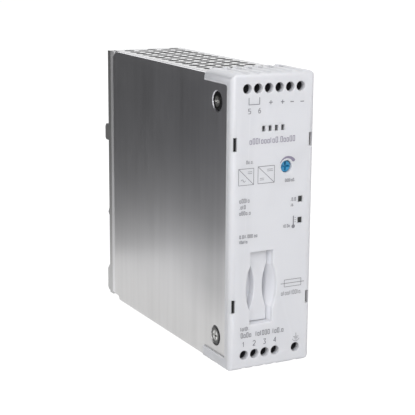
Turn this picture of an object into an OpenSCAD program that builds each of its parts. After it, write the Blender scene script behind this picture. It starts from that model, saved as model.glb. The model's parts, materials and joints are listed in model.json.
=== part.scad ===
/* [Housing] */
// Width across the plastic front cover
body_w = 40; // [40:1:48]
// Height of the plastic front cover
body_h = 127; // [127:1:140]
// Depth from the front face to the back wall
body_d = 128; // [124:1:150]
// How far the metal case lies inside the front cover on each side
metal_inset = 0.8; // [0.6:0.1:1.2]
// Thickness of the aluminium side plate
plate_t = 2; // [1.5:0.1:2]
// Thickness of the folded sheet parts
sheet_t = 0.8; // [0.6:0.1:1.2]

/* [Front cover] */
// Thickness of the front wall
front_t = 2.8; // [2.4:0.1:3]
// Width of the plastic band down each side
band_d = 4.2; // [3.5:0.1:6]
// Depth of the caps over the terminals
cap_d = 24.2; // [23:0.1:26]
// Height of the caps' side flanges
cap_h = 4.9; // [4:0.1:5.5]
// Corner radius of the front outline
corner_r = 4; // [2:0.5:5]

/* [Terminals] */
// Spacing of the terminals
pitch = 5.08; // [5:0.01:5.2]
// Distance of the terminal screws from the cover's top and bottom edges
screw_inset = 6.5; // [6.4:0.1:7]
// Diameter of the screwdriver holes
access_d = 4.2; // [4.1:0.1:4.3]
// Travel of a clamp from open to shut
clamp_travel = 2.5; // [2:0.1:2.5]

/* [Vent sheets] */
// Diameter of a vent hole
vent_d = 5.2; // [4:0.1:5.6]
// Spacing of the vent holes
vent_pitch = 7; // [6.8:0.1:7.2]

/* [Fuse carrier] */
// Width of the carrier
carrier_w = 8; // [7.6:0.1:8]
// Height of the carrier
carrier_h = 30.4; // [29:0.1:31]
// Depth of the grip recess
grip_d = 3; // [3:0.1:4.5]

/* [Rail clip] */
// Width of the mounting rail that the clip takes
rail_w = 35; // [35]
// Height of the rail's middle above the base
rail_z = 62.7; // [58:0.1:66]
// Depth of the clip behind the back wall
clip_d = 10; // [10:0.5:12]
// Travel of the latch when it is pulled
latch_travel = 3.2; // [2.5:0.1:3.5]

/* [Hidden] */
$fn = 64;
eps = 0.01;
gap = 0.2;
total_d = body_d + clip_d;
metal_x = body_w / 2 - metal_inset;
metal_z0 = 1.9;
metal_z1 = body_h - 2;
inner_x = metal_x - plate_t;
plate_y0 = front_t + 0.9;
plate_y1 = body_d - 5.5;
plate_z0 = 0.3;
vent_y0 = cap_d - 1.7;
vent_x = 1;
bend_r = 1.6;

output_x = [for (i = [0 : 5]) (i - 2.5) * pitch];
input_x = [for (i = [0, 1, 2, 3, 5]) (i - 2.5) * pitch];
output_z = body_h - screw_inset;
input_z = screw_inset;

// Terminal parts, measured from the front face
block_y0 = front_t + 0.2;
block_y1 = 25;
block_h = 15;
head_y0 = 8;
head_h = 2;
shank_r = 1.25;
bar_y0 = 17;
bar_t = 0.8;
clamp_y0 = 13.4;
clamp_len = 8;
clamp_w = 3.7;
clamp_h = 5;
clamp_wall = 0.8;
clamp_side = 0.5;
cell_w = 4.3;
entry_w = 3.8;
entry_y0 = 16.7;
entry_len = 4.8;
flute_r = 2.2;
flute_deep = 0.7;

// Places on the front face: x, height above the base
trimmer_at = [6.46, 86.9];
light_at = [[13.66, 72.4], [13.66, 63.2]];
carrier_at = [-4.7, 35.6];
scoop_r = 24.7;
scoop_out = 2;
window_z = [97.8, 28.6];
window_x = body_w / 2 - 1.9;
slot_x = -4.75;
slot_z = 103.7;
slot_pitch = 3.05;
slot_wall = 0.8;
case_screw_at = [[14.1, 114.2], [14.1, 12.3]];
seat_deep = 1.2;

// Boards
front_board_y = 26;
board_t = 1.6;
main_board_x = 14.2;
main_board_y = front_board_y + board_t + 2.4;
board_screw_at = [[-13, 56], [13, 56], [-13, 98], [13, 98]];
pillar_at = [[35, 12], [35, body_h - 12], [body_d - 9, 12], [body_d - 9, body_h - 12]];

// Fuse, a 5 x 20 mm glass tube
fuse_y = 14;
fuse_r = 2.6;
fuse_len = 20;
fuse_cap_len = 5;

// Rail clip
seat_y = body_d + 4;
flange_t = 1;
hook_z = rail_z + rail_w / 2 - 1;
nose_z = rail_z - rail_w / 2 + 0.9;
lip_y = seat_y + flange_t + 0.3;
clip_x = 17;
channel_x = 17.9;
channel_t = 1;
clip_base_t = 1.6;
spring_z0 = 22;
spring_z1 = 36;
spring_y = body_d + 3.9;

// The whole object is centred on its own box, front towards -Y, standing on z = 0
module place() translate([0, -total_d / 2, 0]) children();

// A shape drawn in x, z and given a depth along +Y from y0
module slab(y0, depth) translate([0, y0 + depth, 0]) rotate([90, 0, 0]) linear_extrude(depth) children();

// A shape drawn in y, z and given a thickness along +X from x0
module sheet(x0, t) translate([x0, 0, 0]) rotate([90, 0, 90]) linear_extrude(t) children();

// A rod along +Y
module rod_y(r, y0, len) translate([0, y0, 0]) rotate([-90, 0, 0]) cylinder(r = r, h = len);

// A rod along +X
module rod_x(r, x0, len) translate([x0, 0, 0]) rotate([0, 90, 0]) cylinder(r = r, h = len);

module box(x0, x1, y0, y1, z0, z1) translate([x0, y0, z0]) cube([x1 - x0, y1 - y0, z1 - z0]);

// Rectangle from a to b with round corners
module round_rect(a, b, r) {
    translate([a[0] + r, a[1]]) square([b[0] - a[0] - 2 * r, b[1] - a[1]]);
    translate([a[0], a[1] + r]) square([b[0] - a[0], b[1] - a[1] - 2 * r]);
    for (x = [a[0] + r, b[0] - r], y = [a[1] + r, b[1] - r]) translate([x, y]) circle(r);
}

// Flat plate outline in y, z with its rear corners cut
module plate_outline(y0, y1, z0, z1, cut)
    polygon([[y0, z0], [y1 - cut, z0], [y1, z0 + cut], [y1, z1 - cut], [y1 - cut, z1], [y0, z1]]);

// ---------------------------------------------------------------- metal case

module screw_seat(x) {
    for (p = case_screw_at) translate([0, p[0], p[1]]) {
        rod_x(1.7, x - 5, 10);
        translate([x, 0, 0]) rotate([0, 90, 0]) cylinder(r1 = 4.5, r2 = 3.6, h = seat_deep);
    }
}

// The plate reaches down to the foot of the cover behind the lower cap
module side_plate() color([0.66, 0.66, 0.67]) place() difference() {
    sheet(-metal_x, plate_t) polygon([
        [plate_y0, metal_z0], [cap_d + 0.3, metal_z0], [cap_d + 0.3, plate_z0], [plate_y1 - 5.5, plate_z0],
        [plate_y1 - 4, metal_z0 + 0.3], [plate_y1, metal_z0 + 0.3], [plate_y1, metal_z1 - 2.8],
        [plate_y1 - 3.4, metal_z1], [plate_y0, metal_z1]
    ]);
    screw_seat(-metal_x);
}

module right_panel() color([0.78, 0.78, 0.79]) place() difference() {
    sheet(metal_x - 1.2, 1.2) plate_outline(plate_y0, body_d - 1, metal_z0, metal_z1, 1.5);
    for (p = case_screw_at) translate([0, p[0], p[1]]) rod_x(1.7, metal_x - 5, 10);
}

// Staggered 12-sided holes in columns that run front to back, drawn in x, y
module vent_holes(y0, y1) for (c = [-2 : 2]) {
    first = y0 + (c % 2 == 0 ? 0 : vent_pitch / 2);
    rows = floor((y1 - vent_d / 2 - first) / vent_pitch);
    for (r = [0 : rows])
        translate([vent_x + c * vent_pitch * sqrt(3) / 2, first + r * vent_pitch]) circle(d = vent_d, $fn = 12);
}

// Its rear left corner is cut to clear the bend of the back wall
module vent_sheet(z) translate([0, 0, z]) linear_extrude(sheet_t) difference() {
    x0 = -inner_x + gap;
    x1 = metal_x - 1.2 - gap;
    y1 = body_d - 1.4;
    polygon([[x0, vent_y0], [x1, vent_y0], [x1, y1], [x0 + 1, y1], [x0, y1 - 1]]);
    vent_holes(cap_d + 5.6, body_d - 2);
}

module top_vent_sheet() color([0.80, 0.80, 0.81]) place() vent_sheet(metal_z1 - sheet_t);

module bottom_vent_sheet() color([0.80, 0.80, 0.81]) place() vent_sheet(metal_z0);

// Rear wall folded forward along its left edge, drawn in x, y
module back_wall_outline() {
    left = -metal_x + 0.6;
    t = 1.2;
    difference() {
        union() {
            translate([left + bend_r, body_d - t]) square([metal_x - 1.4 - left - bend_r, t]);
            translate([left, plate_y1 + 0.1]) square([t, body_d - bend_r - plate_y1 - 0.1]);
            intersection() {
                translate([left + bend_r, body_d - bend_r]) circle(bend_r);
                translate([left, body_d - bend_r]) square(bend_r);
            }
        }
        translate([left + bend_r, body_d - bend_r]) circle(bend_r - t);
        translate([left + t, 0]) square([bend_r - t, body_d - bend_r]);
    }
}

module back_wall() color([0.62, 0.62, 0.63]) place() difference() {
    translate([0, 0, metal_z0 + 0.1]) linear_extrude(metal_z1 - metal_z0 - 0.2) back_wall_outline();
    clip_screw_holes(1.3, body_d - 2, 4);
}

// --------------------------------------------------------------- front cover

// The lower left corner is nearly sharp
module cover_shape() intersection() {
    slab(0, cap_d) {
        round_rect([-body_w / 2, 0], [body_w / 2, body_h], corner_r);
        round_rect([-body_w / 2, 0], [0, body_h / 2], 1.2);
    }
    translate([0, 0, -1]) linear_extrude(body_h + 2)
        round_rect([-body_w / 2, 0], [body_w / 2, cap_d + 8], 2.4);
    sheet(-body_w / 2 - 1, body_w + 2) round_rect([0, 0], [cap_d + 8, body_h], 1.8);
}

// Room for the metal case behind the front wall
module cover_hollow() {
    case_x = metal_x + 0.03;
    z_lo = metal_z0 - 0.1;
    z_hi = metal_z1 + 0.1;
    roof = 2.8;
    box(-inner_x + gap, inner_x - gap, front_t, vent_y0 - gap, roof, body_h - roof);
    box(-case_x, -inner_x + gap + eps, front_t, cap_d + 1, z_lo, z_hi);
    box(inner_x - gap - eps, case_x, front_t, cap_d + 1, z_lo, z_hi);
    box(-case_x, case_x, vent_y0 - gap - eps, cap_d + 1, z_lo, z_hi);
}

// The sides are open between the two caps
module cover_side_opening() sheet(-body_w, 2 * body_w)
    round_rect([band_d, cap_h], [cap_d + 4, body_h - cap_h], 1.2);

// Shallow flute over one terminal of the top row, with the wire entry in it
module wire_way(x) translate([x, 0, 0]) {
    translate([0, 0, body_h + flute_r - flute_deep]) rod_y(flute_r, -1, cap_d + 2);
    box(-entry_w / 2, entry_w / 2, entry_y0, entry_y0 + entry_len, body_h - 4, body_h + 1);
}

module mirror_z() translate([0, 0, body_h]) mirror([0, 0, 1]) children();

module grip_block() box(
    carrier_at[0] - 8.8, carrier_at[0] + 8.8, front_t - eps, 9.4,
    carrier_at[1] - 17.4, carrier_at[1] + 17.4
);

// Tapered pocket for the carrier, with a finger scoop on each side
module grip_recess() translate([carrier_at[0], 0, carrier_at[1]]) {
    mouth_x = carrier_w / 2 + 1.6;
    mouth_z = carrier_h / 2 + 0.8;
    well_x = carrier_w / 2 + 0.3;
    well_z = carrier_h / 2 + 0.3;
    deep = grip_d + 1;
    intersection() {
        translate([0, 0, -30]) linear_extrude(60)
            polygon([
                [-mouth_x, -1], [mouth_x, -1], [mouth_x, 0], [well_x, deep],
                [-well_x, deep], [-mouth_x, 0]
            ]);
        sheet(-20, 40)
            polygon([
                [-1, -mouth_z], [-1, mouth_z], [0, mouth_z], [deep, well_z],
                [deep, -well_z], [0, -mouth_z]
            ]);
    }
    box(-well_x, well_x, 0, 30, -well_z, well_z);
    scoops(mouth_x + scoop_out);
}

// Two arcs that meet over the carrier's middle, narrowing with depth
module scoops(reach) intersection() {
    box(-20, 20, -2, 8.2, -12, 12);
    intersection_for (side = [-1, 1])
        translate([side * (scoop_r - reach), -1, 0]) rotate([-90, 0, 0])
            cylinder(r1 = scoop_r + 0.45, r2 = scoop_r - 3.2, h = 9);
}

// Bosses that the front board is screwed to
module board_bosses() for (p = board_screw_at) translate([p[0], 0, p[1]]) difference() {
    rod_y(2.2, front_t - eps, front_board_y - front_t);
    rod_y(0.9, front_board_y - 8, 9);
}

module front_cover() color([0.86, 0.87, 0.89]) place() difference() {
    union() {
        difference() {
            cover_shape();
            cover_hollow();
            cover_side_opening();
        }
        grip_block();
        board_bosses();
    }
    grip_recess();
    for (x = output_x) translate([x, 0, output_z]) rod_y(access_d / 2, -1, 6);
    for (x = input_x) translate([x, 0, input_z]) rod_y(access_d / 2, -1, 6);
    for (x = output_x) wire_way(x);
    mirror_z() for (x = input_x) wire_way(x);
    translate([trimmer_at[0], 0, trimmer_at[1]]) rod_y(2.7, -1, 6);
    for (p = light_at) thin_slot(p[0], p[1], 2.2, 2.6, 0.4);
    for (side = [-1, 1], z = window_z) thin_slot(side * window_x, z, 1.6, 5.8, 0.05);
    for (i = [0 : 3]) thin_slot(slot_x + slot_pitch * i, slot_z, 1.5, 2.4, 0.5);
}

// Slot through the front wall, which is hollowed out behind it by the given margin
module thin_slot(x, z, w, h, margin) translate([x, 0, z]) {
    box(-w / 2, w / 2, -1, 5, -h / 2, h / 2);
    box(-w / 2 - margin, w / 2 + margin, slot_wall, 5, -h / 2 - margin, h / 2 + margin);
}

// ------------------------------------------------------------------ terminals

// Moulded block of one row, drawn for the top row
module terminal_block(xs) difference() {
    z_top = body_h - 3;
    box(-inner_x + 0.6, inner_x - 0.6, block_y0, block_y1, z_top - block_h, z_top);
    for (x = xs) translate([x, 0, 0]) {
        translate([0, 0, output_z]) rod_y(access_d / 2, block_y0 - 1, 9);
        box(
            -cell_w / 2, cell_w / 2, clamp_y0 - clamp_travel - 0.4, clamp_y0 + clamp_len + 0.4,
            output_z - clamp_h / 2 - 0.4, z_top + 1
        );
        box(-1.1, 1.1, bar_y0 - 0.05, bar_y0 + bar_t + 0.05, z_top - block_h - 1, output_z);
    }
}

module output_terminal_block() color([0.16, 0.16, 0.17]) place() terminal_block(output_x);

module input_terminal_block() color([0.16, 0.16, 0.17]) place() mirror_z() terminal_block(input_x);

module terminal_bar(x) box(
    x - 1.05, x + 1.05, bar_y0, bar_y0 + bar_t, body_h - 4 - block_h, output_z + clamp_h / 2 + 0.2
);

module terminal_bars() color([0.83, 0.70, 0.38]) place() {
    for (x = output_x) terminal_bar(x);
    mirror_z() for (x = input_x) terminal_bar(x);
}

// Slotted cheese-head screw whose tip bears on its bar
module terminal_screw(x, z) translate([x, 0, z]) difference() {
    union() {
        rod_y(1.95, head_y0, head_h);
        rod_y(shank_r, head_y0 + head_h - eps, bar_y0 - 0.2 - head_y0 - head_h);
    }
    box(-2.5, 2.5, head_y0 - 1, head_y0 + 1, -0.35, 0.35);
    box(-0.35, 0.35, head_y0 - 1, head_y0 + 0.8, -1.4, 1.4);
}

// Box clamp, open along z so that the wire passes through it
module terminal_clamp(x, z) translate([x, 0, z]) difference() {
    box(-clamp_w / 2, clamp_w / 2, clamp_y0, clamp_y0 + clamp_len, -clamp_h / 2, clamp_h / 2);
    box(
        -clamp_w / 2 + clamp_side, clamp_w / 2 - clamp_side, clamp_y0 + clamp_wall,
        clamp_y0 + clamp_len - clamp_wall, -clamp_h, clamp_h
    );
    rod_y(shank_r + 0.05, clamp_y0 - 1, 3);
}

module output_screw(i) color([0.72, 0.73, 0.75]) place() terminal_screw(output_x[i], output_z);

module input_screw(i) color([0.72, 0.73, 0.75]) place() terminal_screw(input_x[i], input_z);

module output_clamp(i) color([0.70, 0.71, 0.72]) place() terminal_clamp(output_x[i], output_z);

module input_clamp(i) color([0.70, 0.71, 0.72]) place() terminal_clamp(input_x[i], input_z);

// ----------------------------------------------------------------------- fuse

// Everything about the fuse is drawn around the carrier's own middle
module at_carrier() translate([carrier_at[0], 0, carrier_at[1]]) children();

module fuse_carrier() color([0.84, 0.85, 0.87]) place() at_carrier() difference() {
    union() {
        box(-carrier_w / 2, carrier_w / 2, grip_d, fuse_y - 3.2, -carrier_h / 2, carrier_h / 2);
        for (end = [-1, 1]) translate([0, 0, end * (carrier_h / 2 - 1)])
            box(-carrier_w / 2, carrier_w / 2, grip_d, fuse_y + 4, -1, 1);
        box(-3.8, 3.8, fuse_y - 4, fuse_y + 2, -4.4, 4.4);
    }
    translate([0, fuse_y, -fuse_len / 2 - 0.4]) cylinder(r = fuse_r + 0.05, h = fuse_len + 0.8);
    box(-fuse_r - 0.05, fuse_r + 0.05, fuse_y, fuse_y + 5, -fuse_len / 2 - 0.4, fuse_len / 2 + 0.4);
    for (side = [-1, 1]) translate([side * (scoop_r + 1.95), grip_d - 1, 0]) rotate([-90, 0, 0])
        cylinder(r = scoop_r, h = 4.6);
}

module fuse_glass() color([0.85, 0.92, 0.95, 0.4]) place() at_carrier() translate([0, fuse_y, 0])
    difference() {
        cylinder(r = fuse_r - 0.25, h = fuse_len - 2, center = true);
        cylinder(r = fuse_r - 0.9, h = fuse_len, center = true);
    }

module fuse_caps() color([0.80, 0.80, 0.80]) place() at_carrier() translate([0, fuse_y, 0])
    for (end = [0, 1]) mirror([0, 0, end]) difference() {
        translate([0, 0, fuse_len / 2 - fuse_cap_len]) cylinder(r = fuse_r, h = fuse_cap_len);
        translate([0, 0, fuse_len / 2 - fuse_cap_len - 1]) cylinder(r = fuse_r - 0.25, h = fuse_cap_len);
    }

// Two sprung clips on the front board, open towards the front
module fuse_clips() color([0.84, 0.72, 0.40]) place() at_carrier() for (end = [-1, 1])
    translate([0, 0, end * 7.6]) {
        box(-3.5, 3.5, front_board_y - 0.7, front_board_y, -1.6, 1.6);
        for (side = [-1, 1]) translate([side * 3.1, 0, 0])
            box(-0.25, 0.25, fuse_y - 1.5, front_board_y - 0.7 + eps, -1.6, 1.6);
    }

// ------------------------------------------------------- trimmer and indicators

module trimmer_rotor() color([0.10, 0.45, 0.66]) place() translate([trimmer_at[0], 0, trimmer_at[1]])
    difference() {
        rod_y(2.4, 1.1, 18.3);
        box(-1.9, 1.9, 0, 2.3, -0.4, 0.4);
        box(-0.4, 0.4, 0, 2.3, -1.9, 1.9);
    }

module trimmer_body() color([0.12, 0.33, 0.58]) place() translate([trimmer_at[0], 0, trimmer_at[1]])
    difference() {
        box(-4.8, 4.8, 17.5, front_board_y, -4.8, 4.8);
        rod_y(2.45, 17, 2.6);
    }

module light_pipes() color([0.55, 0.60, 0.60]) place() for (p = light_at)
    box(p[0] - 0.95, p[0] + 0.95, 0.5, 22, p[1] - 1.15, p[1] + 1.15);

module indicator_leds() color([0.30, 0.75, 0.35]) place() for (p = light_at) translate([p[0], 0, p[1]]) {
    box(-1.6, 1.6, 23.6, front_board_y, -1.6, 1.6);
    rod_y(1.2, 22.6, 1.1);
}

// --------------------------------------------------------------------- boards

module front_board() color([0.16, 0.42, 0.24]) place() difference() {
    box(-inner_x + 0.8, inner_x - 0.8, front_board_y, front_board_y + board_t, 24, body_h - 24);
    for (p = board_screw_at) translate([p[0], 0, p[1]]) rod_y(1.3, 20, 12);
}

module main_board() color([0.14, 0.38, 0.22]) place() difference() {
    box(main_board_x, main_board_x + board_t, main_board_y, body_d - 5, 8, body_h - 8);
    for (p = pillar_at) translate([0, p[0], p[1]]) rod_x(1.6, main_board_x - 2, 6);
}

// Threaded pillar and screw head at each corner of the main board
module board_pillars() color([0.80, 0.74, 0.52]) place() for (p = pillar_at) translate([0, p[0], p[1]]) {
    rod_x(2.4, main_board_x + board_t, metal_x - 1.2 - main_board_x - board_t);
    rod_x(1.5, main_board_x - 1, board_t + 1 + eps);
    rod_x(2.6, main_board_x - 2, 2);
}

module insulation_sheet() color([0.90, 0.88, 0.80]) place() difference() {
    box(metal_x - 1.7, metal_x - 1.3, main_board_y, body_d - 4, 5, body_h - 5);
    for (p = pillar_at) translate([0, p[0], p[1]]) rod_x(2.6, metal_x - 3, 4);
}

// ---------------------------------------------------------------- power parts

// Part of the given size standing on the main board, its middle at y, z
module on_board(y, z) translate([main_board_x, y, z]) children();

module transformer_core() color([0.22, 0.22, 0.24]) place() on_board(76, 70) difference() {
    box(-28, -3, -16, 16, -17, 17);
    box(-29, -2, -11, 11, -12, -5);
    box(-29, -2, -11, 11, 5, 12);
}

module transformer_winding() color([0.86, 0.72, 0.22]) place() on_board(76, 70) {
    for (side = [-1, 1]) mirror([0, 0, side < 0 ? 1 : 0]) box(-27, -4, -10.8, 10.8, 5.2, 11.8);
    box(-3, 0, -15, 15, -16, 16);
}

// Drum core with a flange at each end
module pfc_inductor() color([0.30, 0.30, 0.32]) place() on_board(104, 98) rotate([0, -90, 0]) {
    cylinder(r = 8.5, h = 22);
    for (z = [0, 19]) translate([0, 0, z]) cylinder(r = 11, h = 3);
}

// Can with a crimp groove near its foot and a cross-shaped vent in its end
module capacitor_can(r, h) rotate([0, -90, 0]) difference() {
    cylinder(r = r, h = h);
    translate([0, 0, 2.6]) rotate_extrude() translate([r + 0.4, 0]) circle(0.9);
    translate([0, 0, h - 0.4]) cylinder(r = r - 1, h = 1);
    for (a = [0, 90]) rotate([0, 0, a]) box(-r / 2, r / 2, -0.25, 0.25, h - 0.8, h);
}

module bulk_capacitor() color([0.10, 0.16, 0.34]) place() on_board(48, 48) capacitor_can(11, 28);

module output_capacitors() color([0.12, 0.14, 0.16]) place() for (i = [0 : 2])
    on_board(40 + 13 * i, 98) capacitor_can(5, 22);

// Ring choke lying flat
module filter_choke() color([0.66, 0.36, 0.20]) place() on_board(50, 22) rotate([0, -90, 0])
    rotate_extrude() round_rect([4.5, 0], [11, 14], 1.8);

// Film capacitor on four small feet
module x_capacitor() color([0.86, 0.66, 0.16]) place() on_board(82, 25) {
    sheet(-16, 15.5) round_rect([-9, -5], [9, 5], 1);
    for (y = [-7, 7], z = [-3, 3]) box(-0.5 - eps, 0, y - 0.8, y + 0.8, z - 0.8, z + 0.8);
}

module signal_relay() color([0.16, 0.36, 0.60]) place() on_board(84, 100) {
    sheet(-12, 12) round_rect([-10, -4], [4, 10], 0.8);
    box(-1.6, 0, -10.4, 4.4, -4.4, 10.4);
}

module heat_spreader() color([0.70, 0.70, 0.72]) place() difference() {
    union() {
        box(-inner_x, -inner_x + 2.5, 92, 118, 30, 82);
        box(-inner_x, main_board_x, 115, 118, 30, 82);
    }
    for (z = [40, 56, 72]) translate([0, 101, z]) rod_x(1.6, -inner_x - 1, 5);
}

module power_transistors() color([0.14, 0.14, 0.15]) place() for (z = [40, 56, 72])
    translate([-inner_x + 2.5, 101, z]) difference() {
        union() {
            box(0, 4.4, -2, 8, -5, 5);
            box(0, 1.3, -7, -2 + eps, -5, 5);
        }
        translate([0, -4.5, 0]) rod_x(1.8, -1, 4);
    }

// ------------------------------------------------------------------ fasteners

// Cross-recessed pan head along -X with its shank along +X
module pan_screw(head_r, head_h, shank_r, len) difference() {
    union() {
        rod_x(head_r, -head_h, head_h);
        rod_x(shank_r, -eps, len);
    }
    for (a = [0, 90]) rotate([a, 0, 0]) box(-head_h - 1, -head_h + 0.9, -0.45, 0.45, -2, 2);
}

module case_screws() color([0.78, 0.78, 0.76]) place() for (p = case_screw_at) translate([0, p[0], p[1]]) {
    translate([-metal_x + seat_deep, 0, 0]) pan_screw(3.3, seat_deep, 1.5, 1.2);
    mirror([1, 0, 0]) translate([-metal_x, 0, 0]) pan_screw(3.3, 0.7, 1.5, 1.2);
}

module board_screws() color([0.78, 0.78, 0.76]) place() for (p = board_screw_at)
    translate([p[0], front_board_y + board_t, p[1]]) rotate([0, 0, -90]) pan_screw(1.9, 1.1, 0.88, 7);

// ------------------------------------------------------------------ rail clip

clip_screw_at = [[-12, 72], [12, 72], [-12, 55.2], [12, 55.2]];

module clip_screw_holes(r, y0, len) for (p = clip_screw_at) translate([p[0], 0, p[1]]) rod_y(r, y0, len);

// Hook along the rail's top edge, drawn in y, z
module hook_profile() {
    slot_y = seat_y - 0.1;
    polygon([
        [body_d, 60], [seat_y, 60], [seat_y, hook_z], [slot_y, hook_z], [slot_y, hook_z + 1.5],
        [lip_y, hook_z + 1.5], [lip_y, hook_z], [total_d - 1, hook_z], [total_d, hook_z + 1],
        [total_d, 86], [total_d - 1.5, 87.5], [body_d, 87.5]
    ]);
}

module rail_bracket() color([0.36, 0.36, 0.37]) place() difference() {
    union() {
        box(-channel_x, channel_x, body_d, body_d + clip_base_t, 0.4, metal_z1 - 0.5);
        for (x = [-channel_x, channel_x - channel_t])
            box(x, x + channel_t, body_d, seat_y - 0.2, 0.4, metal_z1 - 0.5);
        sheet(-clip_x, 2 * clip_x) hook_profile();
        for (side = [-1, 1]) mirror([side < 0 ? 1 : 0, 0, 0]) difference() {
            box(clip_x - 2.4, clip_x, body_d, seat_y - 0.2, 16, 60 + eps);
            box(clip_x - 3, clip_x - 1.2, body_d + 1.9, body_d + 3.3, 15, 57);
        }
        box(-3, 3, body_d, spring_y + 2, spring_z0 - 2.4, spring_z0);
    }
    clip_screw_holes(1.6, body_d - 1, 14);
    clip_screw_holes(3.0, body_d + 1, 14);
}

module bracket_screws() color([0.70, 0.70, 0.70]) place() for (p = clip_screw_at) translate([p[0], 0, p[1]])
    difference() {
        union() {
            rod_y(1.25, body_d - 1.2, 2.4);
            rod_y(2.6, body_d + 1, 1.4);
        }
        box(-2, 2, body_d + 1.7, body_d + 4, -0.4, 0.4);
        box(-0.4, 0.4, body_d + 1.7, body_d + 4, -2, 2);
    }

// Nose that catches the rail's lower edge, drawn in y, z
module nose_profile() polygon([
    [body_d + 2, nose_z - 5.6], [lip_y + 2, nose_z - 5.6], [lip_y + 3.2, nose_z - 4.4],
    [lip_y + 0.9, nose_z], [lip_y, nose_z], [lip_y, nose_z - 1.4], [body_d + 2, nose_z - 1.4]
]);

module rail_latch() color([0.40, 0.40, 0.41]) place() difference() {
    plate_x = clip_x - 2.7;
    union() {
        box(-plate_x, plate_x, body_d + 1.9, body_d + 3.7, 14.2, nose_z + 4);
        box(-plate_x - 1.2, plate_x + 1.2, body_d + 2.2, body_d + 3, 17, nose_z + 4);
        intersection() {
            sheet(-clip_x + 0.5, 2 * clip_x - 1) nose_profile();
            union() {
                box(-plate_x, plate_x, 0, body_d + 20, 0, 100);
                box(-clip_x, clip_x, seat_y + 0.3, body_d + 20, 0, 100);
            }
        }
    }
    box(-3.3, 3.3, body_d, body_d + 12, spring_z0 - 3, spring_z1);
}

module release_foot() color([0.84, 0.84, 0.84]) place() difference() {
    sheet(-clip_x + 0.5, 2 * clip_x - 1) polygon([
        [body_d + 1.9, 0.2], [total_d - 1.4, 0.2], [total_d, 1.6], [total_d, 11.6], [total_d - 2.4, 14.2],
        [body_d + 1.9, 14.2]
    ]);
    box(-5, 5, body_d + 4, body_d + 6.6, 0, 9);
}

// Compression spring between the bracket's tab and the latch
spring_r = 1.7;
wire_r = 0.25;
coils = 8;
steps = 14;

function coil_point(k, j) =
    let (
        a = 360 * k / steps,
        z = spring_z0 + wire_r + (spring_z1 - spring_z0 - 2 * wire_r) * k / (coils * steps),
        r = spring_r + wire_r * cos(60 * j)
    )
    [r * cos(a), r * sin(a), z + wire_r * sin(60 * j)];

module latch_spring() color([0.75, 0.75, 0.76]) place() translate([0, spring_y, 0]) {
    last = coils * steps;
    polyhedron(
        points = [for (k = [0 : last], j = [0 : 5]) coil_point(k, j)],
        faces = concat(
            [[for (j = [5 : -1 : 0]) j]],
            [for (k = [0 : last - 1], j = [0 : 5]) [6 * k + j, 6 * k + (j + 1) % 6, 6 * k + 6 + j]],
            [for (k = [0 : last - 1], j = [0 : 5])
                [6 * k + (j + 1) % 6, 6 * k + 6 + (j + 1) % 6, 6 * k + 6 + j]],
            [[for (j = [0 : 5]) 6 * last + j]]
        )
    );
}

// ----------------------------------------------------------------- selection

side_plate();
right_panel();
top_vent_sheet();
bottom_vent_sheet();
back_wall();
front_cover();
output_terminal_block();
input_terminal_block();
terminal_bars();
for (i = [0 : 5]) output_screw(i);
for (i = [0 : 4]) input_screw(i);
for (i = [0 : 5]) output_clamp(i);
for (i = [0 : 4]) input_clamp(i);
fuse_carrier();
fuse_glass();
fuse_caps();
fuse_clips();
trimmer_rotor();
trimmer_body();
light_pipes();
indicator_leds();
front_board();
main_board();
board_pillars();
insulation_sheet();
transformer_core();
transformer_winding();
pfc_inductor();
bulk_capacitor();
output_capacitors();
filter_choke();
x_capacitor();
signal_relay();
heat_spreader();
power_transistors();
case_screws();
board_screws();
rail_bracket();
bracket_screws();
rail_latch();
release_foot();
latch_spring();
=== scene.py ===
import json
import math
import random

import bmesh
import bpy
from mathutils import Matrix, Vector


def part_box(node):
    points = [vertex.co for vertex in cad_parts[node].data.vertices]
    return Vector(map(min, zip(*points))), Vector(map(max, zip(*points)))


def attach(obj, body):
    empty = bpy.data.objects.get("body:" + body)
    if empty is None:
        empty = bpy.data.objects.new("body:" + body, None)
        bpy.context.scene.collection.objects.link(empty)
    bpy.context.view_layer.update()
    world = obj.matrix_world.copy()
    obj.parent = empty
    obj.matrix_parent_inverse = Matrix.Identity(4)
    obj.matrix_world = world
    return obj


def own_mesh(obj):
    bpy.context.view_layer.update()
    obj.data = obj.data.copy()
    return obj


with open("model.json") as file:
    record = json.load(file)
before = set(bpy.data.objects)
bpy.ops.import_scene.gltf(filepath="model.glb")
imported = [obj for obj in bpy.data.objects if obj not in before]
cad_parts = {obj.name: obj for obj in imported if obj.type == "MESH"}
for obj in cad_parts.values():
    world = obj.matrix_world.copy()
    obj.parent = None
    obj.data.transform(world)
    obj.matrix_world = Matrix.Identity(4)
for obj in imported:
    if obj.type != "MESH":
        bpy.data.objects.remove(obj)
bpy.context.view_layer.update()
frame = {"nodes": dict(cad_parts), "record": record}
nodes = frame["nodes"]
scene = bpy.context.scene
MM = 0.001
FRONT_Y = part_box("front_cover")[0].y


# ------------------------------------------------------------------ node tools

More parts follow.
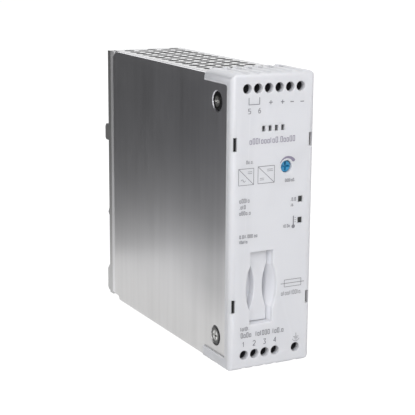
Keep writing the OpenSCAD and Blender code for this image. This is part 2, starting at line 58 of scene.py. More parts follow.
class Shader:
    """Short calls for building one material's node tree."""

    def __init__(self, name):
        self.mat = bpy.data.materials.new(name)
        self.mat.use_nodes = True
        self.tree = self.mat.node_tree
        self.bsdf = self.tree.nodes["Principled BSDF"]
        self.coord = self.tree.nodes.new("ShaderNodeTexCoord").outputs["Object"]

    def new(self, kind, **settings):
        node = self.tree.nodes.new("ShaderNode" + kind)
        for key, value in settings.items():
            setattr(node, key, value)
        return node

    def link(self, a, b):
        self.tree.links.new(a, b)

    def put(self, **values):
        """Constant values on the shader's own sockets."""
        for key, value in values.items():
            self.bsdf.inputs[key.replace("_", " ")].default_value = value

    def mapping(self, scale, location=(0, 0, 0)):
        node = self.new("Mapping")
        node.inputs["Scale"].default_value = scale
        node.inputs["Location"].default_value = location
        self.link(self.coord, node.inputs["Vector"])
        return node.outputs["Vector"]

    def noise(self, scale, detail=3.0, stretch=(1, 1, 1), rough=0.5, distort=0.0):
        node = self.new("TexNoise")
        node.inputs["Scale"].default_value = scale
        node.inputs["Detail"].default_value = detail
        node.inputs["Roughness"].default_value = rough
        node.inputs["Distortion"].default_value = distort
        self.link(self.mapping(stretch), node.inputs["Vector"])
        return node.outputs["Fac"]

    def ramp(self, fac, stops):
        node = self.new("ValToRGB")
        ramp = node.color_ramp
        while len(ramp.elements) < len(stops):
            ramp.elements.new(0.5)
        for element, (place, colour) in zip(ramp.elements, stops):
            element.position = place
            element.color = (*colour, 1) if len(colour) == 3 else colour
        self.link(fac, node.inputs["Fac"])
        return node.outputs["Color"]

    def span(self, fac, low, high, start=0.0, end=1.0):
        node = self.new("MapRange")
        node.inputs["From Min"].default_value = start
        node.inputs["From Max"].default_value = end
        node.inputs["To Min"].default_value = low
        node.inputs["To Max"].default_value = high
        self.link(fac, node.inputs["Value"])
        return node.outputs["Result"]

    def math(self, how, a, b):
        node = self.new("Math", operation=how)
        for socket, value in zip(node.inputs, (a, b)):
            if isinstance(value, (int, float)):
                socket.default_value = value
            else:
                self.link(value, socket)
        return node.outputs["Value"]

    def mix(self, fac, a, b, how="MIX"):
        node = self.new("Mix", data_type="RGBA", blend_type=how)
        for socket, value in ((node.inputs[0], fac), (node.inputs[6], a), (node.inputs[7], b)):
            if isinstance(value, (int, float)):
                socket.default_value = value
            elif isinstance(value, tuple):
                socket.default_value = (*value, 1)
            else:
                self.link(value, socket)
        return node.outputs[2]

    def axes(self, vector=None):
        """The X, Y and Z of a vector, or of the place on the object."""
        node = self.new("SeparateXYZ")
        self.link(self.coord if vector is None else vector, node.inputs["Vector"])
        return node.outputs

    def inside(self, low, high, fade=0.0006):
        """1 inside the box from low to high, fading out over its skin."""
        places = self.axes()
        mask = None
        for axis, a, b in zip("XYZ", low, high):
            rise = self.span(places[axis], 0, 1, a, a + fade)
            fall = self.span(places[axis], 1, 0, b - fade, b)
            both = self.math("MULTIPLY", rise, fall)
            mask = both if mask is None else self.math("MULTIPLY", mask, both)
        return mask

    def edge(self, low=0.52, high=0.62):
        """1 on outer edges and corners, 0 on flats."""
        geometry = self.new("NewGeometry")
        return self.span(geometry.outputs["Pointiness"], 0.0, 1.0, low, high)

    def bump(self, height, strength, distance, normal=None):
        node = self.new("Bump")
        node.inputs["Strength"].default_value = strength
        node.inputs["Distance"].default_value = distance
        self.link(height, node.inputs["Height"])
        if normal is not None:
            self.link(normal, node.inputs["Normal"])
        return node.outputs["Normal"]

    def done(self, colour=None, rough=None, normal=None):
        for name, value in (("Base Color", colour), ("Roughness", rough), ("Normal", normal)):
            if value is not None:
                self.link(value, self.bsdf.inputs[name])
        return self.mat


def shade(colour, factor):
    """The colour made darker or paler."""
    return tuple(min(1.0, c * factor) for c in colour)


# Where the fuse grip's left half, painted palest to lift the shade of its left scoop, passes into the
# right half, painted a little paler for its lit wall
GRIP_MIDDLE = (-0.0085, -0.0070)


def moulded(name, colour, rough=0.42, grain=0.5, spread=0.04, specular=0.5, milky=0.0, painted_light_box=None):
    """Moulded plastic: fine spark-eroded grain, faint flow clouds and scuffed, paler edges.

    milky is how much light it scatters below its skin. The last argument is a box, as low and high
    corners, inside which the plastic is painted paler: painted light that lifts the shade in the fuse
    grip's scoops.
    """
    s = Shader(name)
    s.put(Specular_IOR_Level=specular, Subsurface_Weight=milky, Subsurface_Scale=0.004)
    s.bsdf.inputs["Subsurface Radius"].default_value = (1.0, 0.95, 0.9)
    cloud = s.noise(45, 4)
    speck = s.noise(2600, 2)
    base = s.mix(cloud, shade(colour, 1 - spread), shade(colour, 1 + spread))
    base = s.mix(s.span(speck, 0.0, 0.10, 0.55, 0.8), base, shade(colour, 0.82))
    base = s.mix(s.math("MULTIPLY", s.edge(), 0.25), base, shade(colour, 1.12))
    # Painted light: inside the grip box the base colour is made paler, most on the shaded left scoop,
    # less on the lit right wall
    if painted_light_box is not None:
        rightward = s.span(s.axes()["X"], 0, 1, *GRIP_MIDDLE)
        painted_light_colour = s.mix(rightward, shade(colour, 1.55), shade(colour, 1.18))
        base = s.mix(s.inside(*painted_light_box), base, painted_light_colour)
    roughness = s.span(s.noise(300, 5), rough - 0.06, rough + 0.08)
    fine = s.bump(s.noise(3200, 3), grain * 0.5, 0.00002)
    return s.done(base, roughness, s.bump(s.noise(60, 2), 0.10, 0.0002, fine))


def metal(name, colour, rough=0.3, stretch=(1, 1, 1), scale=1800, spread=0.12, lines=0.25):
    """Bare or plated metal. stretch draws the grain out along the axes with low numbers."""
    s = Shader(name)
    s.put(Metallic=1.0)
    grain = s.noise(scale, 5, stretch, 0.65)
    blotch = s.noise(30, 4)
    base = s.mix(grain, shade(colour, 1 - spread), shade(colour, 1 + spread))
    base = s.mix(s.span(blotch, 0.0, 0.22, 0.45, 0.75), base, shade(colour, 0.80))
    base = s.mix(s.math("MULTIPLY", s.edge(), 0.35), base, shade(colour, 1.25))
    uneven = s.math("ADD", grain, s.math("MULTIPLY", blotch, 0.4))
    roughness = s.span(uneven, rough - 0.08, rough + 0.12, 0.3, 1.1)
    return s.done(base, roughness, s.bump(grain, lines, 0.00003))


# ------------------------------------------------------------------- materials

def brushed_plate():
    """Bare aluminium sheet with an upright rolling grain, a few long scratches and handling marks."""
    s = Shader("brushed_plate")
    s.put(Metallic=1.0, Anisotropic=0.6)
    tangent = s.new("Tangent", direction_type="RADIAL", axis="Z")
    s.link(tangent.outputs["Tangent"], s.bsdf.inputs["Tangent"])
    grain = s.noise(2600, 6, (1, 1, 0.012), 0.7)
    broad = s.noise(420, 4, (1, 1, 0.03), 0.6)
    scratch = s.noise(1500, 1, (1, 1, 0.006), 0.4)
    smear = s.noise(26, 4, (1, 1, 0.5), 0.6, 0.6)
    streak = s.noise(160, 3, (1, 1, 0.05), 0.6)
    places = s.axes()
    colour = (0.55, 0.55, 0.56)
    base = s.mix(grain, shade(colour, 0.90), shade(colour, 1.08))
    base = s.mix(s.span(broad, 0.0, 0.30, 0.35, 0.75), base, shade(colour, 0.86))
    base = s.mix(s.span(scratch, 0.0, 0.5, 0.74, 0.80), base, shade(colour, 1.25))
    base = s.mix(s.span(smear, 0.0, 0.22, 0.5, 0.8), base, shade(colour, 0.78))
    base = s.mix(s.span(streak, 0.0, 0.22, 0.42, 0.62), base, shade(colour, 0.74))
    towards_front = s.span(places["Y"], 0, 1, -0.010, -0.050)
    above_foot = s.span(places["Z"], 0, 1, 0.018, 0.034)
    below_middle = s.span(places["Z"], 1, 0, 0.062, 0.084)
    handled = s.math("MULTIPLY", towards_front, s.math("MULTIPLY", above_foot, below_middle))
    base = s.mix(s.math("MULTIPLY", handled, 0.24), base, (0.05, 0.05, 0.05))
    tint = s.mix(s.span(places["Z"], 0, 1, 0.01, 0.09), (1.0, 0.992, 0.972), (0.98, 0.98, 1.02))
    base = s.mix(1.0, base, tint, "MULTIPLY")
    base = s.mix(s.math("MULTIPLY", s.edge(), 0.5), base, shade(colour, 1.35))
    roughness = s.span(s.math("ADD", grain, s.math("MULTIPLY", smear, 0.5)), 0.27, 0.43, 0.4, 1.1)
    height = s.math("ADD", grain, s.math("MULTIPLY", broad, 0.6))
    return s.done(base, roughness, s.bump(height, 0.22, 0.00003))


def screws_painted_rim_shade(name, colour, centres, clean=1.75, dark=2.5):
    """Plated screw heads whose rims are painted dark: painted shade for the shadow of the dimple each
    head sits in. centres are in y, z.
    """
    s = Shader(name)
    s.put(Metallic=1.0)
    grain = s.noise(1400, 5, (1, 1, 1), 0.65)
    flat = s.mapping((0, 1, 1))
    nearest = None
    for y, z in centres:
        node = s.new("VectorMath", operation="DISTANCE")
        s.link(flat, node.inputs[0])
        node.inputs[1].default_value = (0, y, z)
        away = node.outputs["Value"]
        nearest = away if nearest is None else s.math("MINIMUM", nearest, away)
    # Painted shade: each head darkens to near black towards its rim, for the shadow of its dimple
    painted_rim_shade = s.span(nearest, 0, 1, clean * MM, dark * MM)
    base = s.mix(grain, shade(colour, 0.9), shade(colour, 1.1))
    base = s.mix(painted_rim_shade, base, shade(colour, 0.12))
    return s.done(base, s.span(s.noise(500, 3), 0.2, 0.4), s.bump(grain, 0.3, 0.00003))


def sheet_painted_hole_shade(name, colour):
    """Bare sheet whose hole walls are painted dark, as painted shade for the dark inside of the holes,
    and are duller than its faces.
    """
    s = Shader(name)
    s.put(Metallic=1.0)
    s.bsdf.inputs["Specular Tint"].default_value = (0.70, 0.70, 0.70, 1)
    grain = s.noise(1800, 5, (1, 0.03, 1), 0.65)
    upward = s.axes(s.new("NewGeometry").outputs["True Normal"])["Z"]
    face = s.span(s.math("ABSOLUTE", upward, 0.0), 0.0, 1.0, 0.3, 0.8)
    sheet_colour = s.mix(grain, shade(colour, 0.92), shade(colour, 1.08))
    # Painted shade: the hole walls, whose faces point neither up nor down, get a fifth of the sheet's
    # colour
    base = s.mix(face, shade(colour, 0.2), sheet_colour)
    roughness = s.span(s.math("ADD", grain, s.math("MULTIPLY", face, -0.4)), 0.28, 0.62)
    return s.done(base, roughness, s.bump(grain, 0.25, 0.00003))


def laminate(name, colour):
    """Solder-masked board with tracks under the mask."""
    s = Shader(name)
    s.put(Specular_IOR_Level=0.5)
    tracks = s.new("TexBrick", offset=0.5, squash=1.0)
    tracks.inputs["Scale"].default_value = 220
    tracks.inputs["Mortar Size"].default_value = 0.03
    tracks.inputs["Color1"].default_value = (*shade(colour, 0.8), 1)
    tracks.inputs["Color2"].default_value = (*shade(colour, 1.1), 1)
    tracks.inputs["Mortar"].default_value = (*shade(colour, 1.7), 1)
    turn = s.new("Mapping")
    turn.inputs["Rotation"].default_value = (0, math.radians(90), 0)
    s.link(s.coord, turn.inputs["Vector"])
    s.link(turn.outputs["Vector"], tracks.inputs["Vector"])
    base = s.mix(s.span(s.noise(120, 3), 0.0, 0.5), tracks.outputs["Color"], shade(colour, 0.9))
    return s.done(base, s.span(s.noise(500, 3), 0.25, 0.45), s.bump(tracks.outputs["Fac"], 0.3, 0.00004))


def clear(name, colour, rough=0.08, through=0.9):
    """Glass or clear plastic, slightly wavy."""
    s = Shader(name)
    s.put(Transmission_Weight=through, IOR=1.47)
    base = s.mix(s.noise(200, 2), shade(colour, 0.92), colour)
    roughness = s.span(s.noise(700, 3), rough * 0.6, rough * 1.6)
    return s.done(base, roughness, s.bump(s.noise(900, 2), 0.08, 0.00002))


def wound(name, colour, turns=1500, axis_scale=(1, 1, 1)):
    """Wire laid turn by turn."""
    s = Shader(name)
    s.put(Metallic=0.8)
    wave = s.new("TexWave", wave_type="BANDS", bands_direction="X")
    wave.inputs["Scale"].default_value = turns
    wave.inputs["Distortion"].default_value = 0.6
    s.link(s.mapping(axis_scale), wave.inputs["Vector"])
    base = s.mix(wave.outputs["Fac"], shade(colour, 0.45), shade(colour, 1.1))
    return s.done(base, s.span(s.noise(400, 3), 0.25, 0.45), s.bump(wave.outputs["Fac"], 0.6, 0.0002))


def ink(name, colour):
    """Screen-printed ink: thin, matt and a little uneven."""
    s = Shader(name)
    base = s.mix(s.noise(1500, 3), shade(colour, 0.85), shade(colour, 1.25))
    return s.done(base, s.span(s.noise(900, 2), 0.45, 0.65), s.bump(s.noise(2500, 2), 0.2, 0.00001))


COVER_COLOUR = (0.62, 0.625, 0.655)
MATERIALS = {
    "cover_plastic": moulded("cover_plastic", COVER_COLOUR, 0.45, 0.35, 0.02, milky=0.5),
    # The terminal blocks are dark plastic, made near black so that they also stand in for the shade
    # inside the front's access holes
    "terminal_plastic": moulded("terminal_plastic", (0.03, 0.03, 0.035), 0.5),
    "foot_plastic": moulded("foot_plastic", (0.55, 0.55, 0.55), 0.5),
    "trimmer_blue": moulded("trimmer_blue", (0.02, 0.22, 0.42), 0.3, 0.4, 0.1),
    "led_green": moulded("led_green", (0.10, 0.35, 0.14), 0.2, 0.2),
    "ferrite": moulded("ferrite", (0.035, 0.035, 0.04), 0.5, 1.0, 0.3),
    "winding_tape": moulded("winding_tape", (0.62, 0.42, 0.03), 0.25, 0.3, 0.1),
    "capacitor_sleeve": moulded("capacitor_sleeve", (0.02, 0.025, 0.05), 0.25, 0.2, 0.2),
    "yellow_case": moulded("yellow_case", (0.60, 0.38, 0.04), 0.3, 0.3),
    "relay_blue": moulded("relay_blue", (0.03, 0.12, 0.30), 0.35, 0.3),
    "black_epoxy": moulded("black_epoxy", (0.02, 0.02, 0.02), 0.5, 1.0, 0.3),
    "insulation_film": moulded("insulation_film", (0.62, 0.58, 0.46), 0.6, 0.8, 0.06),
    "case_aluminium": brushed_plate(),
    "vent_aluminium": sheet_painted_hole_shade("vent_aluminium", (0.68, 0.68, 0.69)),
    "screw_steel": metal("screw_steel", (0.46, 0.46, 0.46), 0.20, (1, 1, 1), 1400, 0.1),
    "clamp_steel": metal("clamp_steel", (0.62, 0.62, 0.63), 0.28, (1, 1, 0.1), 1400),
    "clip_steel": metal("clip_steel", (0.48, 0.48, 0.48), 0.52, (0.05, 1, 1), 1300, 0.2),
    "spring_steel": metal("spring_steel", (0.60, 0.60, 0.62), 0.25),
    "contact_brass": metal("contact_brass", (0.78, 0.62, 0.28), 0.3, (1, 1, 0.1), 1300),
    "fuse_cap_metal": metal("fuse_cap_metal", (0.80, 0.80, 0.80), 0.15, (1, 1, 0.05), 1500, 0.05, 0.1),
    "copper_winding": wound("copper_winding", (0.72, 0.32, 0.14)),
    "fuse_glass": clear("fuse_glass", (0.90, 0.95, 0.96)),
    "light_pipe_plastic": clear("light_pipe_plastic", (0.02, 0.022, 0.021), 0.5, 0.15),
    "board_green": laminate("board_green", (0.02, 0.14, 0.06)),
}
INK = ink("printed_grey", (0.17, 0.17, 0.19))
INK_SOFT = ink("printed_light_grey", (0.20, 0.18, 0.25))


def soften(obj, width, segments=2, angle=35):
    """Rounds the hard edges of a CAD piece."""
    weld = obj.modifiers.new("weld", "WELD")
    weld.merge_threshold = 1e-6
    flats = obj.modifiers.new("flats", "DECIMATE")
    flats.decimate_type = "DISSOLVE"
    flats.angle_limit = math.radians(0.05)
    bevel = obj.modifiers.new("bevel", "BEVEL")
    bevel.width = width
    bevel.segments = segments
    bevel.limit_method = "ANGLE"
    bevel.angle_limit = math.radians(angle)
    bevel.use_clamp_overlap = True
    bevel.harden_normals = False


SLOT_OF = {p["node"]: p["material_slot"] for p in frame["record"]["subparts"]}
# The fuse grip's space in the front cover, inside which the cover is painted paler as painted light
GRIP_LOW = (-14.0 * MM, FRONT_Y + 0.9 * MM, 20 * MM)
GRIP_HIGH = (3.5 * MM, FRONT_Y + 6 * MM, 52 * MM)
# The side screws' distance behind the front, and height
SCREW_PLACES = {"upper": (14.1, 114.2), "lower": (14.1, 12.3)}
OWN_FINISH = {
    "case_screws": screws_painted_rim_shade("screws_painted_rim_shade", (0.62, 0.62, 0.61),
                                [(FRONT_Y + y * MM, z * MM) for y, z in SCREW_PLACES.values()]),
    "front_cover": moulded("cover_plastic_painted_light", COVER_COLOUR, 0.45, 0.35, 0.02, milky=0.5,
                           painted_light_box=(GRIP_LOW, GRIP_HIGH)),
    "back_wall": metal("back_sheet", (0.74, 0.74, 0.75), 0.62, (1, 1, 0.02), 1700, 0.14),
}
for name, obj in nodes.items():
    obj.data.materials.clear()
    obj.data.materials.append(OWN_FINISH.get(name) or MATERIALS[SLOT_OF[name]])
    for polygon in obj.data.polygons:
        polygon.material_index = 0

SOFT_EDGES = {
    "side_plate": 0.25, "back_wall": 0.2, "right_panel": 0.2, "front_cover": 0.25,
    "fuse_carrier": 0.3, "rail_bracket": 0.25, "rail_latch": 0.2, "release_foot": 0.4,
    "trimmer_rotor": 0.12, "trimmer_body": 0.3, "case_screws": 0.45, "output_terminal_block": 0.15,
    "input_terminal_block": 0.15, "transformer_core": 0.6, "signal_relay": 0.6, "x_capacitor": 0.8,
    "power_transistors": 0.2, "bulk_capacitor": 0.8, "output_capacitors": 0.5, "light_pipes": 0.1,
}
for name, width in SOFT_EDGES.items():
    soften(nodes[name], width * MM)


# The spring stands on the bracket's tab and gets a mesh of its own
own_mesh(nodes["latch_spring"])


def housing_piece(name, mesh, material):
    """Makes a piece that rides on the housing from a finished bmesh."""
    data = bpy.data.meshes.new(name)
    mesh.to_mesh(data)
    mesh.free()
    obj = bpy.data.objects.new(name, data)
    scene.collection.objects.link(obj)
    data.materials.append(material)
    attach(obj, "housing")
    return obj


# ---------------------------------------------------------------- printed marks

class Print:
    """Thin raised ink on the front face. Places are x and height in millimetres."""

    LIFT = 0.02 * MM
    STEP = 0.001 * MM
    LAYERS = 9
    SINK = 0.05 * MM

    def __init__(self):
        self.mesh = bmesh.new()
        self.drawn = 0

    def quad(self, corners):
        """One patch of ink. Each lies a hair higher than the last, so that no two share a plane."""
        self.drawn += 1
        lift = self.LIFT + self.STEP * (self.drawn % self.LAYERS)
        front = [self.mesh.verts.new((x * MM, FRONT_Y - lift, z * MM)) for x, z in corners]
        back = [self.mesh.verts.new((x * MM, FRONT_Y + self.SINK, z * MM)) for x, z in corners]
        self.mesh.faces.new(front)
        self.mesh.faces.new(back[::-1])
        count = len(corners)
        for i in range(count):
            j = (i + 1) % count
            self.mesh.faces.new((front[i], back[i], back[j], front[j]))

    def dot(self, x, z, radius, sides=12):
        """A round patch."""
        ring = [2 * math.pi * k / sides for k in range(sides)]
        self.quad([(x + radius * math.cos(a), z + radius * math.sin(a)) for a in ring])

    def line(self, points, width, end_width=None):
        """A polyline of round-ended strokes, from width to end_width."""
        end_width = width if end_width is None else end_width
        steps = len(points) - 1
        for i in range(steps):
            (x0, z0), (x1, z1) = points[i], points[i + 1]
            length = math.hypot(x1 - x0, z1 - z0)
            w0 = width + (end_width - width) * i / steps
            w1 = width + (end_width - width) * (i + 1) / steps
            nx, nz = -(z1 - z0) / length / 2, (x1 - x0) / length / 2
            self.quad([
                (x0 - nx * w0, z0 - nz * w0), (x1 - nx * w1, z1 - nz * w1),
                (x1 + nx * w1, z1 + nz * w1), (x0 + nx * w0, z0 + nz * w0),
            ])
            if i:
                self.dot(x0, z0, w0 / 2)

    def done(self, name, material):
        bmesh.ops.recalc_face_normals(self.mesh, faces=self.mesh.faces)
        return housing_piece(name, self.mesh, material)


def arc(cx, cz, radius, start, end, steps=16):
    """Points along an arc, its angles in degrees."""
    angles = [math.radians(start + (end - start) * k / steps) for k in range(steps + 1)]
    return [(cx + radius * math.cos(a), cz + radius * math.sin(a)) for a in angles]


def small_row(prints, x0, x1, z, height, seed, width):
    """A row of tiny boxes, ticks and dots that reads as fine print without any letters."""
    rng = random.Random(seed)
    x = x0
    cell = height * 0.68
    while x + cell * 0.7 < x1:
        kind = rng.randrange(6)
        if kind < 4:
            wide = cell * 0.55
            top = z + height * (1.0 if kind < 2 else 0.68)
            prints.line([(x, z), (x + wide, z), (x + wide, top), (x, top), (x, z)], width)
        elif kind == 4:
            prints.line([(x, z), (x, z + height)], width)
            x -= cell * 0.35
        else:
            prints.dot(x, z + width / 2, width * 0.6, 8)
            x -= cell * 0.45
        x += cell


# Strokes of each digit, in shares of its width and height
DIGITS = {
    "1": [[(0.15, 0.75), (0.5, 1.0), (0.5, 0.0)]],
    "2": [[(0.0, 0.8), (0.2, 1.0), (0.8, 1.0), (1.0, 0.8), (1.0, 0.6), (0.0, 0.0), (1.0, 0.0)]],
    "3": [[(0.0, 1.0), (1.0, 1.0), (0.5, 0.55), (1.0, 0.35), (0.8, 0.0), (0.0, 0.0)]],
    "4": [[(0.8, 0.0), (0.8, 1.0), (0.0, 0.3), (1.0, 0.3)]],
    "5": [[(1.0, 1.0), (0.1, 1.0), (0.0, 0.55), (0.7, 0.6), (1.0, 0.35), (0.8, 0.0), (0.0, 0.0)]],
    "6": [[
        (0.8, 1.0), (0.2, 0.7), (0.0, 0.3), (0.2, 0.0), (0.8, 0.0), (1.0, 0.3), (0.8, 0.55), (0.1, 0.5),
    ]],
}


def number(prints, digit, x, z, height, width):
    """A plain terminal number, x and z at its lower left."""
    wide = height * 0.55
    for path in DIGITS[digit]:
        prints.line([(x + u * wide, z + v * height) for u, v in path], width)


marks = Print()
marks.line([(-11.95, 116.9), (-11.95, 114), (-6.95, 114), (-6.95, 116.9)], 0.3)
for x, z, upright in (
    (-1.62, 114.5, True), (4.0, 114.4, True), (8.6, 114.2, False), (13.5, 114.05, False),
):
    marks.line([(x - 0.85, z), (x + 0.85, z)], 0.36)
    if upright:
        marks.line([(x, z - 0.85), (x, z + 0.85)], 0.36)
number(marks, "5", -12.2, 110.3, 2.0, 0.28)
number(marks, "6", -7.5, 110.4, 2.0, 0.28)
marks.done("terminal_marks", INK)

diagram = Print()
for x0, x1, z0, z1 in ((-16.4, -9.25, 80.6, 87.5), (-7.2, 0.68, 80.7, 87.9)):
    diagram.line([(x0, z0), (x1, z0), (x1, z1), (x0, z1), (x0, z0)], 0.22)
    diagram.line([(x0, z1), (x1, z0)], 0.22)
    diagram.line([(x0 + 4.3, z1 - 1.4), (x1 - 0.8, z1 - 1.4)], 0.2)
    diagram.line([(x0 + 4.3, z1 - 2.1), (x1 - 0.8, z1 - 2.1)], 0.2)
diagram.line(arc(-14.7, 82.5, 0.5, 180, 0, 8), 0.2)
diagram.line(arc(-13.7, 82.5, 0.5, 180, 360, 8), 0.2)
diagram.line([(-6.3, 82.2), (-4.3, 82.2)], 0.2)
diagram.line([(-6.3, 82.9), (-4.3, 82.9)], 0.2)
diagram.done("converter_diagrams", INK)

curve = Print()
curve.line(arc(7.0, 87.1, 3.75, 158, 34, 24), 0.25, 1.45)
curve.done("trimmer_curve", INK_SOFT)

fuse_sign = Print()
fuse_sign.line([(6.6, 34.3), (14.9, 34.3), (14.9, 37.4), (6.6, 37.4), (6.6, 34.3)], 0.22)
fuse_sign.line([(4.8, 35.85), (16.5, 35.85)], 0.24)
small_row(fuse_sign, 5.2, 16.0, 30.7, 1.7, 11, 0.2)
fuse_sign.done("fuse_sign", INK)

heat = Print()
heat.line([(10.45, 65.3), (10.45, 61.4)], 0.45)
heat.dot(10.45, 60.7, 0.85, 20)
for k in range(3):
    heat.line([(11.0, 62.6 + 0.9 * k), (11.7, 62.6 + 0.9 * k)], 0.16)
heat.done("thermometer_sign", INK)

type_row = Print()
small_row(type_row, -11.3, 11.4, 97.6, 2.2, 23, 0.26)
type_row.done("type_row", INK_SOFT)

earth = Print()
earth.line([(13.0, 12.9), (13.0, 11.2)], 0.22)
for half, z in ((1.35, 11.2), (0.9, 10.6), (0.45, 10.0)):
    earth.line([(13.0 - half, z), (13.0 + half, z)], 0.22)
earth.line(arc(13.0, 11.1, 1.9, 205, 335, 14), 0.18)
earth.done("earth_sign", INK)

rows = Print()
for x0, x1, z, height, seed, width in (
    (-12.8, -8.6, 89.5, 1.3, 21, 0.2), (6.0, 11.6, 80.4, 1.2, 22, 0.2),
    (-15.8, -10.2, 73.2, 1.6, 23, 0.22), (-15.8, -12.0, 70.6, 1.5, 24, 0.22),
    (-15.8, -10.0, 68.0, 1.5, 25, 0.22), (9.0, 11.6, 71.9, 1.3, 26, 0.22),
    (9.0, 11.4, 69.6, 1.3, 27, 0.22), (5.6, 9.0, 60.6, 1.2, 33, 0.2),
    (-15.6, -6.4, 58.0, 1.3, 28, 0.22), (-15.6, -11.6, 55.8, 1.2, 29, 0.22),
    (-14.5, -9.4, 17.5, 1.5, 30, 0.24), (-14.3, -8.6, 14.4, 2.0, 31, 0.28),
    (-7.0, 0.2, 14.4, 2.0, 34, 0.28), (1.4, 7.6, 14.4, 2.0, 35, 0.28),
):
    small_row(rows, x0, x1, z, height, seed, width)
for digit, x in (("1", -13.6), ("2", -8.4), ("3", -3.3), ("4", 1.8)):
    number(rows, digit, x, 10.3, 2.1, 0.3)
rows.done("fine_print", INK)


# -------------------------------------------------- toothed washers and slot blocks that stand in for shade

def ring_piece(name, outer, inner, place, x0, x1, material):
    """A flat ring between two outlines in y, z, as thick as x0 to x1, in millimetres."""
    mesh = bmesh.new()
    loops = []
    for x, outline in ((x0, outer), (x0, inner), (x1, inner), (x1, outer)):
        points = [(x * MM, FRONT_Y + (place[0] + u) * MM, (place[1] + v) * MM) for u, v in outline]
        loops.append([mesh.verts.new(point) for point in points])
    count = len(outer)
    for k in range(4):
        a, b = loops[k], loops[(k + 1) % 4]
        for i in range(count):
            j = (i + 1) % count
            mesh.faces.new((a[i], a[j], b[j], b[i]))
    bmesh.ops.recalc_face_normals(mesh, faces=mesh.faces)
    return housing_piece(name, mesh, material)


# Painted shade: black toothed washers under the side screws stand in for the shadow round each head's
# dimple
SHADOW_BLACK_STEEL = metal("blackened_steel_painted_shade", (0.07, 0.07, 0.075), 0.4, (1, 1, 1), 1500, 0.2)
PLATE_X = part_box("side_plate")[0].x / MM
TEETH = 14
TIP_R, ROOT_R, BORE_R = 4.05, 3.75, 3.25
POINTS_A_TOOTH = 4
WASHER_FROM, WASHER_TO = PLATE_X + 0.25, PLATE_X + 0.6
for label, place in SCREW_PLACES.items():
    outer, inner = [], []
    for i in range(TEETH * POINTS_A_TOOTH):
        angle = 2 * math.pi * i / (TEETH * POINTS_A_TOOTH)
        radius = TIP_R if i % POINTS_A_TOOTH < 2 else ROOT_R
        outer.append((radius * math.cos(angle), radius * math.sin(angle)))
        inner.append((BORE_R * math.cos(angle), BORE_R * math.sin(angle)))
    ring_piece("toothed_shadow_washer_" + label, outer, inner, place, WASHER_FROM, WASHER_TO, SHADOW_BLACK_STEEL)


def seal(name, x, z, wide, tall, y0, y1, material):
    """A dark soft block with rounded edges in a slot of the front wall, from y0 to y1 behind the face.
    It stands in for the shade inside the slot.
    """
    mesh = bmesh.new()
    bmesh.ops.create_cube(mesh, size=1.0)
    middle = Vector((x * MM, FRONT_Y + (y0 + y1) / 2 * MM, z * MM))
    for vert in mesh.verts:
        vert.co = middle + Vector((vert.co.x * wide, vert.co.y * (y1 - y0), vert.co.z * tall)) * MM
    edges = list(mesh.edges)
    bmesh.ops.bevel(mesh, geom=edges, offset=0.12 * MM, segments=2, affect="EDGES", profile=0.5)
    return housing_piece(name, mesh, material)


# Painted shade: near-black blocks in the four snap slots stand in for the shade inside them
SLOT_SHADE_RUBBER = moulded("slot_shade_rubber", (0.012, 0.012, 0.013), 0.8, 1.0, 0.2, specular=0.2)
for name, x, near in (("left", -18.1, 0.9), ("right", 18.1, 2.0)):
    for label, z in (("upper", 97.8), ("lower", 28.6)):
        seal("slot_shade_block_%s_%s" % (name, label), x, z, 1.45, 5.6, near, 3.6, SLOT_SHADE_RUBBER)


# ------------------------------------------------------------- camera and light

# The camera's place in the object's frame
AZIMUTH, ELEVATION, ROLL = math.radians(-27.67), math.radians(12.72), math.radians(0.39)
TARGET = Vector((-4.55, 50 + FRONT_Y / MM, 60.2)) * MM
DISTANCE = 0.57629
flat_reach = math.cos(ELEVATION)
back = Vector((math.sin(AZIMUTH) * flat_reach, -math.cos(AZIMUTH) * flat_reach, math.sin(ELEVATION)))
right = (-back).cross(Vector((0, 0, 1))).normalized()
up = right.cross(-back)
rolled_right = right * math.cos(ROLL) + up * math.sin(ROLL)
rolled_up = -right * math.sin(ROLL) + up * math.cos(ROLL)
camera = bpy.data.objects.new("camera", bpy.data.cameras.new("camera"))
scene.collection.objects.link(camera)
camera.matrix_world = Matrix((
    (rolled_right.x, rolled_up.x, back.x, 0), (rolled_right.y, rolled_up.y, back.y, 0),
    (rolled_right.z, rolled_up.z, back.z, 0), (0, 0, 0, 1),
))
camera.location = TARGET + back * DISTANCE
camera.data.sensor_width = 36
camera.data.lens = 110.07
camera.data.clip_start, camera.data.clip_end = 0.01, 50
scene.camera = camera
scene.view_settings.view_transform = "Standard"

world = bpy.data.worlds.new("studio")
scene.world = world
world.use_nodes = True
background = world.node_tree.nodes["Background"]
background.inputs["Color"].default_value = (1, 1, 1, 1)
background.inputs["Strength"].default_value = 0.50


def stage_plane(name, low, high, location, rotation, material):
    """A flat rectangle from low to high in its own x, y."""
    data = bpy.data.meshes.new(name)
    corners = [(low[0], low[1], 0), (high[0], low[1], 0), (high[0], high[1], 0), (low[0], high[1], 0)]
    data.from_pydata(corners, [], [(0, 1, 2, 3)])
    obj = bpy.data.objects.new(name, data)
    obj.location = location
    obj.rotation_euler = rotation
    data.materials.append(material)
    scene.collection.objects.link(obj)
    return obj


def floor_material():
    """White paper that glows a little, so that it meets the background without a line."""
    s = Shader("floor_paper")
    s.put(Roughness=0.9, Emission_Strength=0.92)
    s.bsdf.inputs["Emission Color"].default_value = (1, 1, 1, 1)
    base = s.mix(s.noise(6, 3), (0.16, 0.16, 0.16), (0.2, 0.2, 0.2))
    return s.done(base)


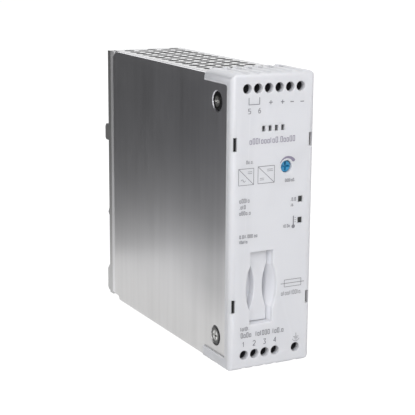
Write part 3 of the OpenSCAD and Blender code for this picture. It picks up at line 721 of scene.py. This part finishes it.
floor = stage_plane("floor", (-15, -15), (15, 15), (0, 0, 0), (0, 0, 0), floor_material())
floor.visible_diffuse = False


def area(name, size, power, place, aim=(0, 0, 0.06)):
    """A soft rectangular light at place, turned to aim."""
    light = bpy.data.lights.new(name, "AREA")
    light.shape = "RECTANGLE"
    light.size, light.size_y = size
    light.energy = power
    obj = bpy.data.objects.new(name, light)
    obj.location = place
    obj.rotation_euler = (Vector(aim) - Vector(place)).to_track_quat("-Z", "Y").to_euler()
    scene.collection.objects.link(obj)
    return obj


area("key", (0.8, 0.8), 6.5, (-0.40, -0.66, 0.50))
area("fill", (0.6, 0.6), 0.9, (0.34, -0.82, 0.30))
area("rear", (1.7, 0.8), 4.6, (0.56, 1.06, 0.56))

# The card's corners in its own x and height, and the grey of its painted glow at shares of its lower
# part's height
CARD_LOW, CARD_HIGH = (-0.25, 0.0), (0.08, 0.5)
CARD_RAMP_HEIGHT = 0.15
CARD_GREYS = (
    (0.0, 0.72), (0.05, 0.54), (0.113, 0.42), (0.177, 0.28), (0.30, 0.165), (0.43, 0.10), (0.57, 0.075),
)


def card_material():
    """Glows pale at the foot and dark above: painted light, as on a dark card lit by a white floor."""
    s = Shader("grey_card")
    s.put(Roughness=1.0, Specular_IOR_Level=0.0, Emission_Strength=1.0)
    s.bsdf.inputs["Base Color"].default_value = (0, 0, 0, 1)
    height = s.span(s.axes()["Y"], 0.0, 1.0, 0.0, CARD_RAMP_HEIGHT)
    greys = s.ramp(height, [(place, (v, v, v)) for place, v in CARD_GREYS])
    s.link(greys, s.bsdf.inputs["Emission Color"])
    return s.mat


# A card that the side plate mirrors. It is out of the camera's view and lets light pass
card_direction = Vector((-0.464, 0.886, 0))
card_place = Vector((-0.019, -0.007, 0)) + card_direction * 0.14
card_turn = math.atan2(card_direction.x, -card_direction.y) + math.pi
card = stage_plane(
    "grey_card", CARD_LOW, CARD_HIGH, card_place, (math.radians(90), 0, card_turn), card_material()
)
card.visible_camera = False
card.visible_diffuse = False
card.visible_shadow = False
card.visible_transmission = False
